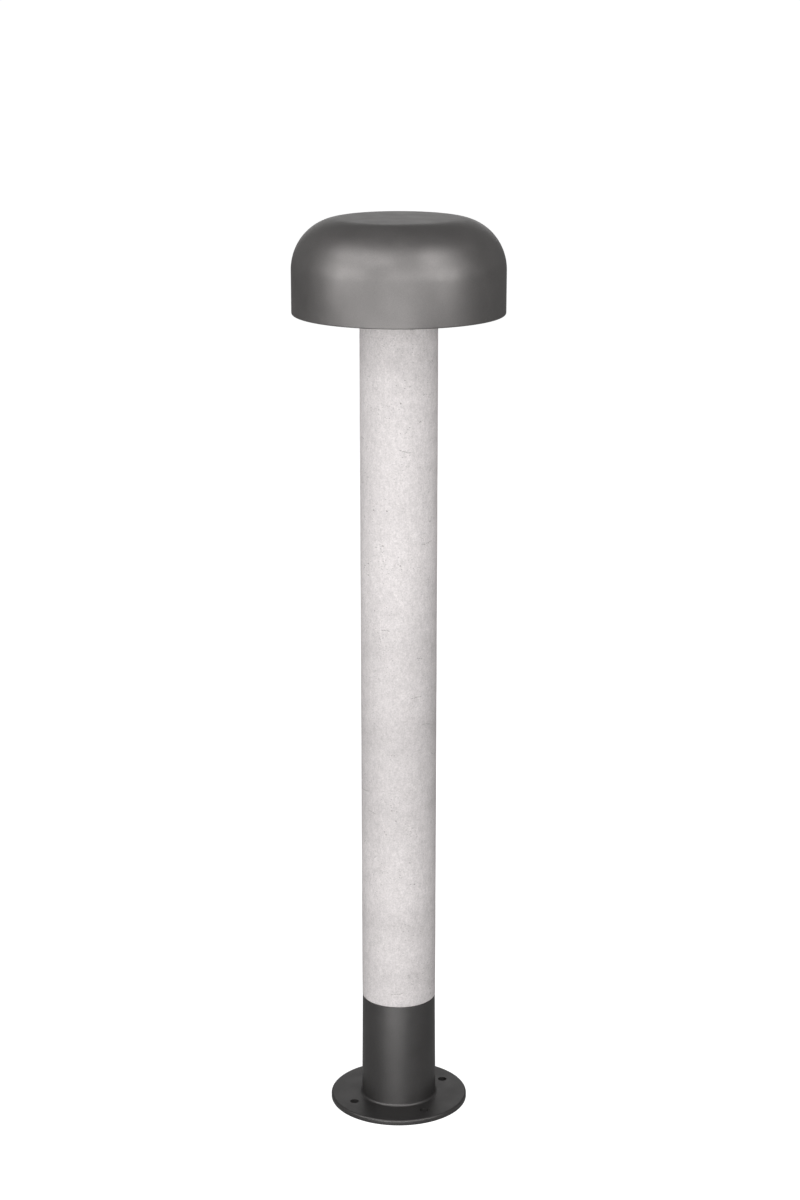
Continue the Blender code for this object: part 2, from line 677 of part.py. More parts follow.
def driver(parts, cutters):
    """The LED driver: a closed case on a plate whose ends are screwed to the tray."""
    bottom = TRAY_TOP_Z + GAP
    centre = (0.0, DRIVER_Y, bottom + 0.5 * DRIVER_SIZE.z)
    case = box("led_driver", DRIVER_SIZE, centre, parts, edge=MM)
    centre = (0.0, DRIVER_Y, bottom + 0.5 * DRIVER_FOOT_SIZE.z)
    plate = box("driver_plate", DRIVER_FOOT_SIZE, centre, cutters)
    radius = M3[0] + THREAD_CLEARANCE
    holes = rods("driver_plate_holes", driver_screw_places(), radius, TRAY_Z, bottom + 4.0 * MM, cutters)
    boolean(case, plate, "UNION")
    boolean(case, holes, "DIFFERENCE")
    finish(case, "white_plastic")
    seat = bottom + DRIVER_FOOT_SIZE.z + GAP
    for number, place in enumerate(driver_screw_places(), 1):
        screw = screw_down(f"driver_screw_{number}", place, M3, seat, TRAY_Z + MM, parts)
        finish(screw, "stainless")


def terminal_block(parts):
    bottom = TRAY_TOP_Z + GAP
    centre = (TERMINAL_X, 0.0, bottom + 0.5 * TERMINAL_SIZE.z)
    finish(box("terminal_block", TERMINAL_SIZE, centre, parts, edge=MM), "white_plastic")


def tube_grommet(parts):
    """Rubber edge guard on the top of the core tube, round the cable."""
    bottom = TUBE_TOP_Z + GAP
    guard = ring(
        "tube_grommet", GROMMET_BORE_RADIUS, TUBE_RADIUS, bottom, bottom + GROMMET_HEIGHT, parts, COARSE
    )
    finish(guard, "rubber")


def wiring(parts):
    """The cable from the connector to the terminal block, and the leads on the tray."""
    connector_top = CONNECTOR_TOP_Z + CONNECTOR_NUT_LENGTH + 2 * GAP
    terminal_top = TRAY_TOP_Z + TERMINAL_SIZE.z + 2 * GAP
    tube_end = TUBE_TOP_Z + GROMMET_HEIGHT
    bend = 0.5 * TERMINAL_X
    route = [
        (0.0, 0.0, connector_top),
        (0.0, 0.0, connector_top + 25.0 * MM),
        (3.0 * MM, 1.0 * MM, 250.0 * MM),
        (-3.0 * MM, 2.0 * MM, 450.0 * MM),
        (2.0 * MM, -3.0 * MM, 650.0 * MM),
        (0.0, 0.0, 810.0 * MM),
        (0.0, 0.0, tube_end),
        *[(bend + x, 0.0, tube_end + z) for x, z in arc((0.0, 0.0), (bend, bend), 150, 30, 4)],
        (TERMINAL_X, 0.0, tube_end),
        (TERMINAL_X, 0.0, terminal_top + 2.0 * MM),
        (TERMINAL_X, 0.0, terminal_top),
    ]
    finish(cable("internal_cable", route, CABLE_RADIUS, parts), "rubber")

    side = 0.5 * TERMINAL_SIZE.y + GAP
    end = 0.5 * DRIVER_SIZE.x + GAP
    lead_z = TRAY_TOP_Z + 12.0 * MM
    route = [
        (TERMINAL_X, side, lead_z - 5.0 * MM),
        (TERMINAL_X, side + 6.0 * MM, lead_z - 5.0 * MM),
        (TERMINAL_X + 2.0 * MM, DRIVER_Y - 16.0 * MM, lead_z),
        (TERMINAL_X - 1.0 * MM, DRIVER_Y - 5.0 * MM, lead_z),
        (end + 5.0 * MM, DRIVER_Y, lead_z),
        (end, DRIVER_Y, lead_z),
    ]
    finish(cable("driver_input_lead", route, LEAD_RADIUS, parts), "black_plastic")

    down_x = led_lead_place()[0]
    route = [
        (-end, DRIVER_Y, lead_z),
        (-end - 6.0 * MM, DRIVER_Y, lead_z),
        (down_x + 2.0 * MM, DRIVER_Y, lead_z - 4.0 * MM),
        (down_x, DRIVER_Y, lead_z - 9.0 * MM),
        (down_x, DRIVER_Y, TRAY_Z),
    ]
    finish(cable("driver_output_lead", route, LEAD_RADIUS, parts), "black_plastic")

    x, y = EARTH_SCREW_AT
    seat = TRAY_TOP_Z + GAP
    finish(screw_down("earth_screw", (x, y), M4, seat, TRAY_Z + MM, parts), "stainless")
    route = [
        (TERMINAL_X, -side, seat + 7.0 * MM),
        (TERMINAL_X, -side - 7.0 * MM, seat + 6.0 * MM),
        (TERMINAL_X, y + M4[1] + 7.0 * MM, seat + 2.4 * MM),
        (TERMINAL_X, y + M4[1] + GAP, seat + 1.6 * MM),
    ]
    finish(cable("earth_lead", route, EARTH_LEAD_RADIUS, parts), "earth_green")


def main():
    clear_scene()
    parts = new_collection("bollard_light")
    cutters = new_collection("cutters")
    foot_casting(parts, cutters)
    core_tube(parts)
    clamp_pieces(parts, cutters)
    column_gaskets(parts)
    concrete_sleeve(parts)
    connector(parts, cutters)
    neck_flange(parts, cutters)
    head_shell(parts, cutters)
    gear_tray(parts, cutters)
    head_screws(parts)
    diffuser(parts, cutters)
    diffuser_posts(parts, cutters)
    chamber_rings(parts)
    led_board(parts, cutters)
    driver(parts, cutters)
    terminal_block(parts)
    tube_grommet(parts)
    wiring(parts)
    for obj in parts.objects:
        if obj.type == "MESH":
            shade_round(obj)


main()
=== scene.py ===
import json
import math

import bmesh
import bpy
import numpy as np
from mathutils import Matrix, Vector


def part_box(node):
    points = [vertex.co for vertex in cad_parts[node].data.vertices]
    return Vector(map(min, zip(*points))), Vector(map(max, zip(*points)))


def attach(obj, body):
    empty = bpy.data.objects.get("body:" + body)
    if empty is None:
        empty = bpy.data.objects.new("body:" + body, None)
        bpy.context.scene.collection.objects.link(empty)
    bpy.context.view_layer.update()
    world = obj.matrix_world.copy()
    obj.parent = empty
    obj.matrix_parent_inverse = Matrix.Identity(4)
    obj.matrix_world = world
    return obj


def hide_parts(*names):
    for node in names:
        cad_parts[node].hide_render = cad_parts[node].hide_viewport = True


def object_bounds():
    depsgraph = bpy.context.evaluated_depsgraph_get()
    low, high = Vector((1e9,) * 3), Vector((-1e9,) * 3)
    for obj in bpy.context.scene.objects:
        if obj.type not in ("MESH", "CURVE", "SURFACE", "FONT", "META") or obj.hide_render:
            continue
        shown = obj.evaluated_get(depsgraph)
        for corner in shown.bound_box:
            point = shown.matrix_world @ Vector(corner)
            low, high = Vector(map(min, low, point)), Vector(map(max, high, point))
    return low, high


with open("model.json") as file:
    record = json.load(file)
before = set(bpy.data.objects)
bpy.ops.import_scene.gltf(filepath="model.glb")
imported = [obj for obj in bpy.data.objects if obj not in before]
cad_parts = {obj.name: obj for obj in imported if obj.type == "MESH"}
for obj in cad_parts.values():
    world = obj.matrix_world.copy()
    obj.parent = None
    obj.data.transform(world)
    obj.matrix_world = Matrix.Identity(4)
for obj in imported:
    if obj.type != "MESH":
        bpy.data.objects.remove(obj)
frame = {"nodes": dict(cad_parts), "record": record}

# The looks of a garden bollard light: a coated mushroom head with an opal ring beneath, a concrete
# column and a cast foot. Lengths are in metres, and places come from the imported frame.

MM = 0.001
CAD_LOW, CAD_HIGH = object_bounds()
NODES = frame["nodes"]
SLOTS = {entry["node"]: entry["material_slot"] for entry in frame["record"]["subparts"]}
GAP = 0.3 * MM  # between pieces that touch in the real light

# Sides of the turned pieces, and a small turn that keeps a drill's corners off the piece's own rows
FINE = 256
MEDIUM = 128
SMALL = 48
ROD_TURN = 0.03

# Head: the dome's wall and the two half-axes of its rounded shoulder
HEAD_WALL = 3.0 * MM
SHOULDER_WIDTH = 46.5 * MM
SHOULDER_HEIGHT = 48.2 * MM

# Foot: the casting's wall, flange, fillet and anchor holes
FLANGE_THICKNESS = 5.5 * MM
FLANGE_ROUND = 2.0 * MM
FOOT_FILLET = 2.5 * MM
FOOT_WALL = 3.0 * MM
FOOT_SLEEVE_BASE_RADIUS = 37.9 * MM
FOOT_SLEEVE_TOP_RADIUS = 37.0 * MM
FOOT_CAVITY_RADIUS = 33.2 * MM
FOOT_WEB_THICKNESS = 6.0 * MM
ANCHOR_CIRCLE_RADIUS = 52.3 * MM
ANCHOR_HOLE_RADIUS = 4.5 * MM
ANCHOR_COUNT = 4

# Concrete: bore, edges, its grid before refining, the times that faces at a hole are split, and how far
# the outer face lies inside its box and waves
COLUMN_BORE_RADIUS = 24.0 * MM
COLUMN_EDGE = 0.9 * MM
COLUMN_SIDES = 120
COLUMN_ROW = 3.0 * MM
COLUMN_SPLITS = 3
COLUMN_SETBACK = 0.06 * MM
COLUMN_WAVE = 0.03 * MM

# Air holes and fine cracks of the concrete's outer face, and the painted shade that darkens the tone
# inside them
PORE_GROUPS = 100
PORES_PER_GROUP = 4
PORE_SPREAD = 8.0 * MM
CRACK_COUNT = 34
CRACK_HALF_HEIGHT = 0.36 * MM
CRACK_DEPTH = 0.28 * MM
HOLE_SHADE_RATE = 2.2  # how fast the painted shade in a hole or crack turns dark from its edge inwards
BLEMISH_SEED = 5566
# The point attribute that carries the painted shade of the air holes and cracks, from 0 to 1
PORE_SHADE_ATTRIBUTE = "pore_shade"

# Soft darker bands where the pours of the concrete met, one of them broad: height, half width and tone
POUR_JOINTS = (
    (0.712, 18.0 * MM, 0.970),
    (0.628, 18.0 * MM, 0.985),
    (0.487, 24.0 * MM, 0.915),
    (0.405, 28.0 * MM, 0.905),
    (0.370, 110.0 * MM, 0.905),
    (0.325, 28.0 * MM, 0.945),
    (0.205, 28.0 * MM, 0.945),
    (0.150, 28.0 * MM, 0.950),
)

# Underside of the head
NECK_SKIRT_RADIUS = 40.7 * MM
NECK_BORE_RADIUS = 37.7 * MM
NECK_SCREW_COUNT = 3
NECK_SCREW_CIRCLE_RADIUS = 41.8 * MM
NECK_SCREW_HOLE_RADIUS = 2.9 * MM
NECK_SCREW_DEPTH = 10.0 * MM
DIFFUSER_HOLE_RADIUS = 42.0 * MM
DIFFUSER_EDGE = 0.7 * MM
DIFFUSER_SCREW_COUNT = 3
SCREW_CLEARANCE_RADIUS = 1.9 * MM
SCREW_HEAD_HEIGHT = 1.9 * MM
SCREW_SOCKET_RADIUS = 1.2 * MM
SCREW_SOCKET_DEPTH = 1.1 * MM
SCREW_ROUND = 1.3 * MM
SCREW_BAND = 0.25 * MM
M3_RADIUS = 1.5 * MM
M3_PITCH = 0.5 * MM
M3_THREAD_DEPTH = 0.25 * MM

# Pipe, lock nuts and connector; a turn of 5 degrees sets the nuts as they lie in the frame
TUBE_WALL = 2.6 * MM
TUBE_PITCH = 1.5 * MM
TUBE_THREAD_DEPTH = 0.45 * MM
TUBE_THREAD_LENGTH = 30.0 * MM
TUBE_CLEAR_RADIUS = 21.6 * MM
NUT_HEX_RADIUS = 31.7 * MM
NUT_CHAMFER = 1.6 * MM
NUT_TURN = math.radians(5)
GRIP_COUNT = 12
GRIP_DEPTH = 0.9 * MM
SUPPLY_INLET_RADIUS = 4.2 * MM
SUPPLY_INLET_DEPTH = 9.7 * MM

# Plain rings: inner radius, and how far their edges are rounded
RINGS = {
    "foot_washer": (21.6 * MM, 0.5 * MM),
    "neck_washer": (21.6 * MM, 0.5 * MM),
    "foot_gasket": (25.0 * MM, 0.6 * MM),
    "neck_gasket": (25.0 * MM, 0.6 * MM),
    "outer_diffuser_gasket": (92.0 * MM, 0.8 * MM),
    "inner_diffuser_gasket": (42.6 * MM, 0.8 * MM),
    "outer_reflector": (94.6 * MM, 0.3 * MM),
    "inner_reflector": (46.4 * MM, 0.3 * MM),
    "tube_grommet": (4.2 * MM, 1.2 * MM),
}

# Stage
FLOOR_RADIUS = 40.0
FLOOR_COLOUR = (0.36, 0.36, 0.36)
FLOOR_GLOW = 0.06
FLOOR_LIFT = 0.95
ROOM_LIGHT = 0.22
SURROUND = 1.05

# Softboxes: name, azimuth from the camera's side and elevation in degrees, distance, width and height,
# watts, and the height that they aim at
SOFTBOXES = (
    ("left_wall", -56.0, 11.0, 2.2, (1.6, 1.1), 15.6, 0.66),
    ("front_wall", -6.0, 11.0, 2.2, (0.9, 1.0), 6.0, 0.68),
    ("right_front", 18.0, 11.0, 2.2, (0.8, 1.0), 6.0, 0.68),
    ("right_wall", 49.0, 11.0, 2.2, (0.8, 1.1), 10.4, 0.66),
    ("high_left", -60.0, 45.0, 2.2, (1.6, 0.8), 9.4, 0.60),
    ("high_front", -15.0, 45.0, 2.2, (0.8, 0.8), 5.8, 0.60),
    ("high_right", 45.0, 45.0, 2.2, (0.8, 0.8), 8.2, 0.60),
    ("low_wall", -18.0, 1.0, 2.0, (1.5, 0.4), 2.3, 0.42),
    ("low_front", -11.0, 2.0, 1.25, (1.4, 0.14), 6.2, 0.03),
    ("backdrop", 180.0, 6.0, 2.4, (1.6, 0.7), 3.2, 0.93),
)

# Camera, measured from the foot's centre
CAMERA_AZIMUTH = math.radians(15.5)
CAMERA_DISTANCE = 2.3133
CAMERA_HEIGHT = 1.1503
CAMERA_PITCH = math.radians(17.3)
CAMERA_LENS = 73.6
CAMERA_SENSOR = 36.0
CAMERA_SHIFT = (0.001, 0.0833)


# ---------------------------------------------------------------- mesh helpers


def arc(centre, radii, start, end, steps):
    """Points of an elliptical arc in the (radius, height) plane, with angles in degrees from +X."""
    angles = np.radians(np.linspace(start, end, steps + 1))
    across = centre[0] + radii[0] * np.cos(angles)
    up = centre[1] + radii[1] * np.sin(angles)
    return list(zip(across.tolist(), up.tolist()))


def smooth(mesh, sharp=30.0):
    """Smooth shading, with edges kept sharp where the faces meet at more than this angle in degrees."""
    mesh.shade_smooth()
    mesh.set_sharp_from_angle(angle=math.radians(sharp))


def link_mesh(name, mesh):
    obj = bpy.data.objects.new(name, mesh)
    bpy.context.scene.collection.objects.link(obj)
    return obj


def lathe(name, outline, sides=MEDIUM, centre=(0.0, 0.0)):
    """A turned piece. The outline is (radius, height) points, down the outer side and up the inner.
    It closes on itself unless its first point lies on the axis."""
    angles = np.linspace(0, math.tau, sides, endpoint=False)
    verts = []
    rows = []
    for radius, height in outline:
        if radius <= 0:
            rows.append([len(verts)] * sides)
            verts.append((centre[0], centre[1], height))
            continue
        rows.append(list(range(len(verts), len(verts) + sides)))
        across = centre[0] + radius * np.cos(angles)
        deep = centre[1] + radius * np.sin(angles)
        verts.extend(zip(across.tolist(), deep.tolist(), [height] * sides))
    pairs = list(zip(rows, rows[1:]))
    if outline[0][0] > 0:
        pairs.append((rows[-1], rows[0]))
    faces = []
    for upper, lower in pairs:
        for side in range(sides):
            after = (side + 1) % sides
            corners = [upper[side], lower[side], lower[after], upper[after]]
            faces.append(list(dict.fromkeys(corners)))
    mesh = bpy.data.meshes.new(name)
    mesh.from_pydata(verts, [], faces)
    smooth(mesh)
    return link_mesh(name, mesh)


def rounded_ring(name, inner, outer, bottom, top, edge, sides=MEDIUM, centre=(0.0, 0.0)):
    """A flat ring whose four edges are rounded."""
    both = (edge, edge)
    outline = [
        *arc((outer - edge, top - edge), both, 90, 0, 4),
        *arc((outer - edge, bottom + edge), both, 0, -90, 4),
        *arc((inner + edge, bottom + edge), both, -90, -180, 4),
        *arc((inner + edge, top - edge), both, 180, 90, 4),
    ]
    return lathe(name, outline, sides, centre)


def thread_rows(radius, depth, pitch, top, bottom):
    """Outline points down a threaded stretch, four to a turn: crest, flank, root, flank."""
    drop = 0.25 * pitch
    count = int((top - bottom) / drop)
    shares = (0.0, 0.5, 1.0, 0.5)
    return [(radius - depth * shares[step % 4], top - drop * (step + 0.5)) for step in range(count)]


def wind(obj, centre, radius, depth, pitch):
    """Turns the rings of a threaded stretch into a helix, by lifting each point with its angle."""
    for vert in obj.data.vertices:
        across, deep = vert.co.x - centre[0], vert.co.y - centre[1]
        out = math.hypot(across, deep)
        if radius - depth * 1.01 < out < radius - depth * 0.01:
            turn = math.atan2(deep, across) / math.tau + vert.co.z / pitch
            saw = abs(2 * (turn % 1.0) - 1)
            wanted = radius - depth * saw
            vert.co.x = centre[0] + across * wanted / out
            vert.co.y = centre[1] + deep * wanted / out


def cut_rods(obj, centres, radius, bottom, top, sides=SMALL):
    """Drills upright holes, round or with few sides, and leaves the result in the object's own mesh."""
    bm = bmesh.new()
    for x, y in centres:
        place = Matrix.Translation((x, y, (bottom + top) / 2)) @ Matrix.Rotation(ROD_TURN, 4, "Z")
        add_rod(bm, place, radius, top - bottom, sides)
    combine(obj, helper(bm), "DIFFERENCE")


def add_rod(bm, place, radius, length, sides):
    bmesh.ops.create_cone(
        bm,
        cap_ends=True,
        segments=sides,
        radius1=radius,
        radius2=radius,
        depth=length,
        matrix=place,
    )


def helper(bm):
    """An object that only serves in a Boolean."""
    mesh = bpy.data.meshes.new("helper")
    bm.to_mesh(mesh)
    bm.free()
    return link_mesh("helper", mesh)


def combine(obj, other, operation):
    """A Boolean with a helper, which is then removed; the result stays in the object's own mesh."""
    modifier = obj.modifiers.new("combine", "BOOLEAN")
    modifier.object = other
    modifier.operation = operation
    modifier.solver = "EXACT"
    graph = bpy.context.evaluated_depsgraph_get()
    mesh = bpy.data.meshes.new_from_object(obj.evaluated_get(graph))
    obj.modifiers.clear()
    obj.data = mesh
    bpy.data.objects.remove(other)
    smooth(mesh)


def round_places(count, radius, first):
    angles = [first + math.tau * index / count for index in range(count)]
    return [(radius * math.cos(angle), radius * math.sin(angle)) for angle in angles]


def stand_in(obj, node):
    """The piece takes the place of a CAD node, and the material of its slot."""
    slot = SLOTS[node]
    obj.data.materials.clear()
    obj.data.materials.append(MATERIALS[slot])
    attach(obj, "root")
    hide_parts(node)


# ---------------------------------------------------------------- material helpers


class Graph:
    """A Principled material under construction."""

    def __init__(self, name, colour, roughness, metallic=0.0):
        self.material = bpy.data.materials.new(name)
        self.material.use_nodes = True
        self.tree = self.material.node_tree
        self.shader = self.tree.nodes["Principled BSDF"]
        self.set("Base Color", (*colour, 1.0))
        self.set("Roughness", roughness)
        self.set("Metallic", metallic)
        self.place = self.add("ShaderNodeTexCoord").outputs["Object"]

    def add(self, kind, **settings):
        node = self.tree.nodes.new(kind)
        for name, value in settings.items():
            setattr(node, name, value)
        return node

    def set(self, socket, value):
        self.shader.inputs[socket].default_value = value

    def plug(self, source, target):
        self.tree.links.new(source, target)

    def into(self, source, socket):
        self.plug(source, self.shader.inputs[socket])

    def scaled(self, scale):
        """The object's own coordinates, stretched along each axis."""
        mapping = self.add("ShaderNodeMapping")
        mapping.inputs["Scale"].default_value = scale
        self.plug(self.place, mapping.inputs["Vector"])
        return mapping.outputs["Vector"]

    def noise(self, scale, detail=2.0, roughness=0.5, place=None):
        node = self.add("ShaderNodeTexNoise")
        node.inputs["Scale"].default_value = scale
        node.inputs["Detail"].default_value = detail
        node.inputs["Roughness"].default_value = roughness
        self.plug(place or self.place, node.inputs["Vector"])
        return node.outputs["Fac"]

    def cells(self, scale, place=None):
        """Scattered points: the distance to the nearest one, in cells, and a colour for each one."""
        node = self.add("ShaderNodeTexVoronoi")
        node.inputs["Scale"].default_value = scale
        self.plug(place or self.place, node.inputs["Vector"])
        return node.outputs["Distance"], node.outputs["Color"]

    def span(self, source, low, high, to_low=0.0, to_high=1.0):
        """Maps the span low..high to to_low..to_high, and holds it there outside."""
        node = self.add("ShaderNodeMapRange")
        limits = {"From Min": low, "From Max": high, "To Min": to_low, "To Max": to_high}
        for name, value in limits.items():
            node.inputs[name].default_value = value
        self.plug(source, node.inputs["Value"])
        return node.outputs["Result"]

    def math(self, operation, first, second):
        node = self.add("ShaderNodeMath", operation=operation)
        for socket, value in zip(node.inputs, (first, second)):
            if isinstance(value, (int, float)):
                socket.default_value = value
            else:
                self.plug(value, socket)
        return node.outputs["Value"]

    def blend(self, share, first, second, mode="MIX"):
        """Mixes two colours; either can be a plain colour or a socket."""
        node = self.add("ShaderNodeMix", data_type="RGBA", blend_type=mode)
        for name, value in (("Factor_Float", share), ("A_Color", first), ("B_Color", second)):
            socket = next(s for s in node.inputs if s.identifier == name)
            if isinstance(value, tuple):
                socket.default_value = (*value, 1.0)
            elif isinstance(value, (int, float)):
                socket.default_value = value
            else:
                self.plug(value, socket)
        return next(s for s in node.outputs if s.identifier == "Result_Color")

    def times(self, first, second):
        return self.blend(1.0, first, second, "MULTIPLY")

    def bump(self, height, strength, distance, below=None):
        node = self.add("ShaderNodeBump")
        node.inputs["Strength"].default_value = strength
        node.inputs["Distance"].default_value = distance
        self.plug(height, node.inputs["Height"])
        if below:
            self.plug(below, node.inputs["Normal"])
        self.into(node.outputs["Normal"], "Normal")
        return node.outputs["Normal"]


def tinted(colour, share):
    return tuple(min(1.0, channel * share) for channel in colour)


# ---------------------------------------------------------------- materials


def powder_coat(name, colour, roughness, metallic):
    """Satin powder coat: a fine orange peel, with a faint metallic grain."""
    graph = Graph(name, colour, roughness, metallic)
    grain = graph.span(graph.noise(2600.0, 2.0, 0.6), 0.3, 0.7)
    tone = graph.blend(grain, tinted(colour, 0.86), tinted(colour, 1.16))
    cloud = graph.span(graph.noise(22.0, 3.0), 0.35, 0.65, 0.94, 1.06)
    graph.into(graph.times(tone, cloud), "Base Color")
    worn = graph.span(graph.noise(60.0, 3.0), 0.3, 0.7, roughness - 0.03, roughness + 0.04)
    graph.into(worn, "Roughness")
    peel = graph.noise(700.0, 1.0)
    below = graph.bump(peel, 0.18, 0.05 * MM)
    graph.bump(graph.noise(2600.0, 1.0), 0.12, 0.02 * MM, below)
    return graph.material


def concrete_material():
    """Fair-faced grey concrete: soft level bands, clouds, fine sand, darker specks, and painted shade in
    the air holes and cracks.
    """
    colour = (0.616, 0.585, 0.583)
    graph = Graph("concrete", colour, 0.84)
    clouds = graph.noise(9.0, 3.0, 0.5, graph.scaled((0.8, 0.8, 1.6)))
    tone = graph.blend(graph.span(clouds, 0.34, 0.64), tinted(colour, 0.955), tinted(colour, 1.035))
    mottle = graph.noise(70.0, 4.0, 0.6, graph.scaled((0.9, 0.9, 1.3)))
    tone = graph.times(tone, graph.span(mottle, 0.34, 0.66, 0.955, 1.035))
    grit = graph.noise(230.0, 3.0, 0.6, graph.scaled((1.3, 1.3, 0.6)))
    tone = graph.times(tone, graph.span(grit, 0.34, 0.66, 0.935, 1.05))
    for shade in pour_joints(graph):
        tone = graph.times(tone, shade)
    sand = graph.noise(620.0, 4.0, 0.8)
    tone = graph.times(tone, graph.span(sand, 0.32, 0.68, 0.80, 1.15))
    distance, _ = graph.cells(330.0, graph.scaled((0.8, 0.8, 1.3)))
    patches = graph.span(graph.noise(38.0, 3.0), 0.50, 0.60)
    speck = graph.math("MULTIPLY", graph.span(distance, 0.10, 0.24, 1.0, 0.0), patches)
    tone = graph.blend(graph.math("MULTIPLY", speck, 0.70), tone, tinted(colour, 0.42))
    # Painted shade in the air holes and cracks, read from the point attribute that the column stores
    pore_shade = graph.add("ShaderNodeAttribute", attribute_name=PORE_SHADE_ATTRIBUTE).outputs["Fac"]
    tone = graph.blend(graph.math("MULTIPLY", pore_shade, 0.80), tone, tinted(colour, 0.38))
    graph.into(tone, "Base Color")
    graph.into(graph.span(graph.noise(300.0, 2.0), 0.3, 0.7, 0.78, 0.92), "Roughness")
    below = graph.bump(graph.noise(130.0, 3.0), 0.20, 0.12 * MM)
    graph.bump(graph.noise(900.0, 3.0, 0.75), 0.30, 0.06 * MM, below)
    return graph.material


def pour_joints(graph):
    """Tones for the concrete: below 1 in a soft uneven band at each pour joint, and one more that falls
    slowly towards the foot."""
    split = graph.add("ShaderNodeSeparateXYZ")
    graph.plug(graph.place, split.inputs["Vector"])
    wander = graph.span(graph.noise(16.0, 3.0), 0.3, 0.7, -9.0 * MM, 9.0 * MM)
    level = graph.math("ADD", split.outputs["Z"], wander)
    for height, half, shade in POUR_JOINTS:
        away = graph.math("ABSOLUTE", graph.math("SUBTRACT", level, height), 0.0)
        yield graph.span(away, 0.0, half, shade, 1.0)
    yield graph.span(level, 0.10, 0.60, 0.925, 1.0)


def plastic(name, colour, roughness, grain_scale=900.0):
    """Moulded plastic with a fine spark-eroded grain and slight tone changes."""
    graph = Graph(name, colour, roughness)
    cloud = graph.span(graph.noise(40.0, 3.0), 0.3, 0.7)
    graph.into(graph.blend(cloud, tinted(colour, 0.95), tinted(colour, 1.04)), "Base Color")
    graph.into(graph.span(graph.noise(120.0), 0.3, 0.7, roughness - 0.05, roughness + 0.06), "Roughness")
    graph.bump(graph.noise(grain_scale, 2.0), 0.12, 0.03 * MM)
    return graph.material


def opal_material():
    """Milky acrylic that scatters light inside."""
    colour = (0.860, 0.865, 0.850)
    graph = Graph("opal", colour, 0.34)
    graph.set("Subsurface Weight", 0.35)
    graph.set("Subsurface Radius", (0.006, 0.006, 0.005))
    graph.set("Subsurface Scale", 1.0)
    cloud = graph.span(graph.noise(30.0, 3.0), 0.3, 0.7)
    graph.into(graph.blend(cloud, tinted(colour, 0.97), tinted(colour, 1.02)), "Base Color")
    graph.into(graph.span(graph.noise(160.0), 0.3, 0.7, 0.30, 0.39), "Roughness")
    graph.bump(graph.noise(1500.0, 2.0), 0.10, 0.02 * MM)
    return graph.material


def bare_metal(name, colour, roughness, streak):
    """Machined or drawn metal; the streak is the noise's stretch along X, Y and Z."""
    graph = Graph(name, colour, roughness, 1.0)
    lines = graph.noise(260.0, 4.0, 0.6, graph.scaled(streak))
    tone = graph.blend(graph.span(lines, 0.3, 0.7), tinted(colour, 0.86), tinted(colour, 1.08))
    graph.into(tone, "Base Color")
    graph.into(graph.span(lines, 0.25, 0.75, roughness - 0.07, roughness + 0.09), "Roughness")
    graph.bump(lines, 0.15, 0.02 * MM)
    return graph.material


def galvanised_material():
    """Hot-dip zinc: large dull flakes of slightly different greys."""
    colour = (0.500, 0.515, 0.525)
    graph = Graph("galvanised", colour, 0.45, 0.9)
    _, flake = graph.cells(240.0)
    split = graph.add("ShaderNodeSeparateColor")
    graph.plug(flake, split.inputs["Color"])
    tone = split.outputs["Red"]
    graph.into(graph.blend(tone, tinted(colour, 0.78), tinted(colour, 1.12)), "Base Color")
    graph.into(graph.span(tone, 0.0, 1.0, 0.36, 0.56), "Roughness")
    graph.bump(graph.noise(500.0, 3.0), 0.15, 0.04 * MM)
    return graph.material


def rubber_material():
    colour = (0.024, 0.024, 0.025)
    graph = Graph("rubber", colour, 0.72)
    bloom = graph.span(graph.noise(90.0, 4.0), 0.42, 0.70)
    graph.into(graph.blend(bloom, colour, (0.050, 0.050, 0.049)), "Base Color")
    graph.into(graph.span(graph.noise(200.0), 0.3, 0.7, 0.64, 0.80), "Roughness")
    graph.bump(graph.noise(1300.0, 2.0), 0.20, 0.03 * MM)
    return graph.material


def phosphor_material():
    """Yellow silicone over an LED, with a fine grain in its tone and roughness."""
    colour = (0.820, 0.620, 0.120)
    graph = Graph("phosphor", colour, 0.26)
    graph.set("Subsurface Weight", 0.20)
    graph.set("Subsurface Radius", (0.001, 0.001, 0.0005))
    graph.set("Subsurface Scale", 1.0)
    grain = graph.span(graph.noise(1800.0, 2.0), 0.3, 0.7)
    graph.into(graph.blend(grain, tinted(colour, 0.85), tinted(colour, 1.12)), "Base Color")
    graph.into(graph.span(graph.noise(600.0), 0.3, 0.7, 0.20, 0.34), "Roughness")
    return graph.material


MATERIALS = {
    "head_coat": powder_coat("head_coat", (0.223, 0.214, 0.210), 0.45, 0.90),
    "foot_coat": powder_coat("foot_coat", (0.092, 0.089, 0.088), 0.42, 0.86),
    "concrete": concrete_material(),
    "opal": opal_material(),
    "white_plastic": plastic("white_plastic", (0.800, 0.800, 0.780), 0.48),
    "black_plastic": plastic("black_plastic", (0.022, 0.022, 0.024), 0.46),
    "board_mask": plastic("board_mask", (0.780, 0.790, 0.770), 0.36, 400.0),
    "phosphor": phosphor_material(),
    "aluminium": bare_metal("aluminium", (0.700, 0.705, 0.715), 0.34, (1.0, 12.0, 1.0)),
    "galvanised": galvanised_material(),
    "stainless": bare_metal("stainless", (0.560, 0.555, 0.545), 0.26, (1.0, 1.0, 14.0)),
    "rubber": rubber_material(),
    "earth_green": plastic("earth_green", (0.180, 0.420, 0.050), 0.50),
}


# ---------------------------------------------------------------- head


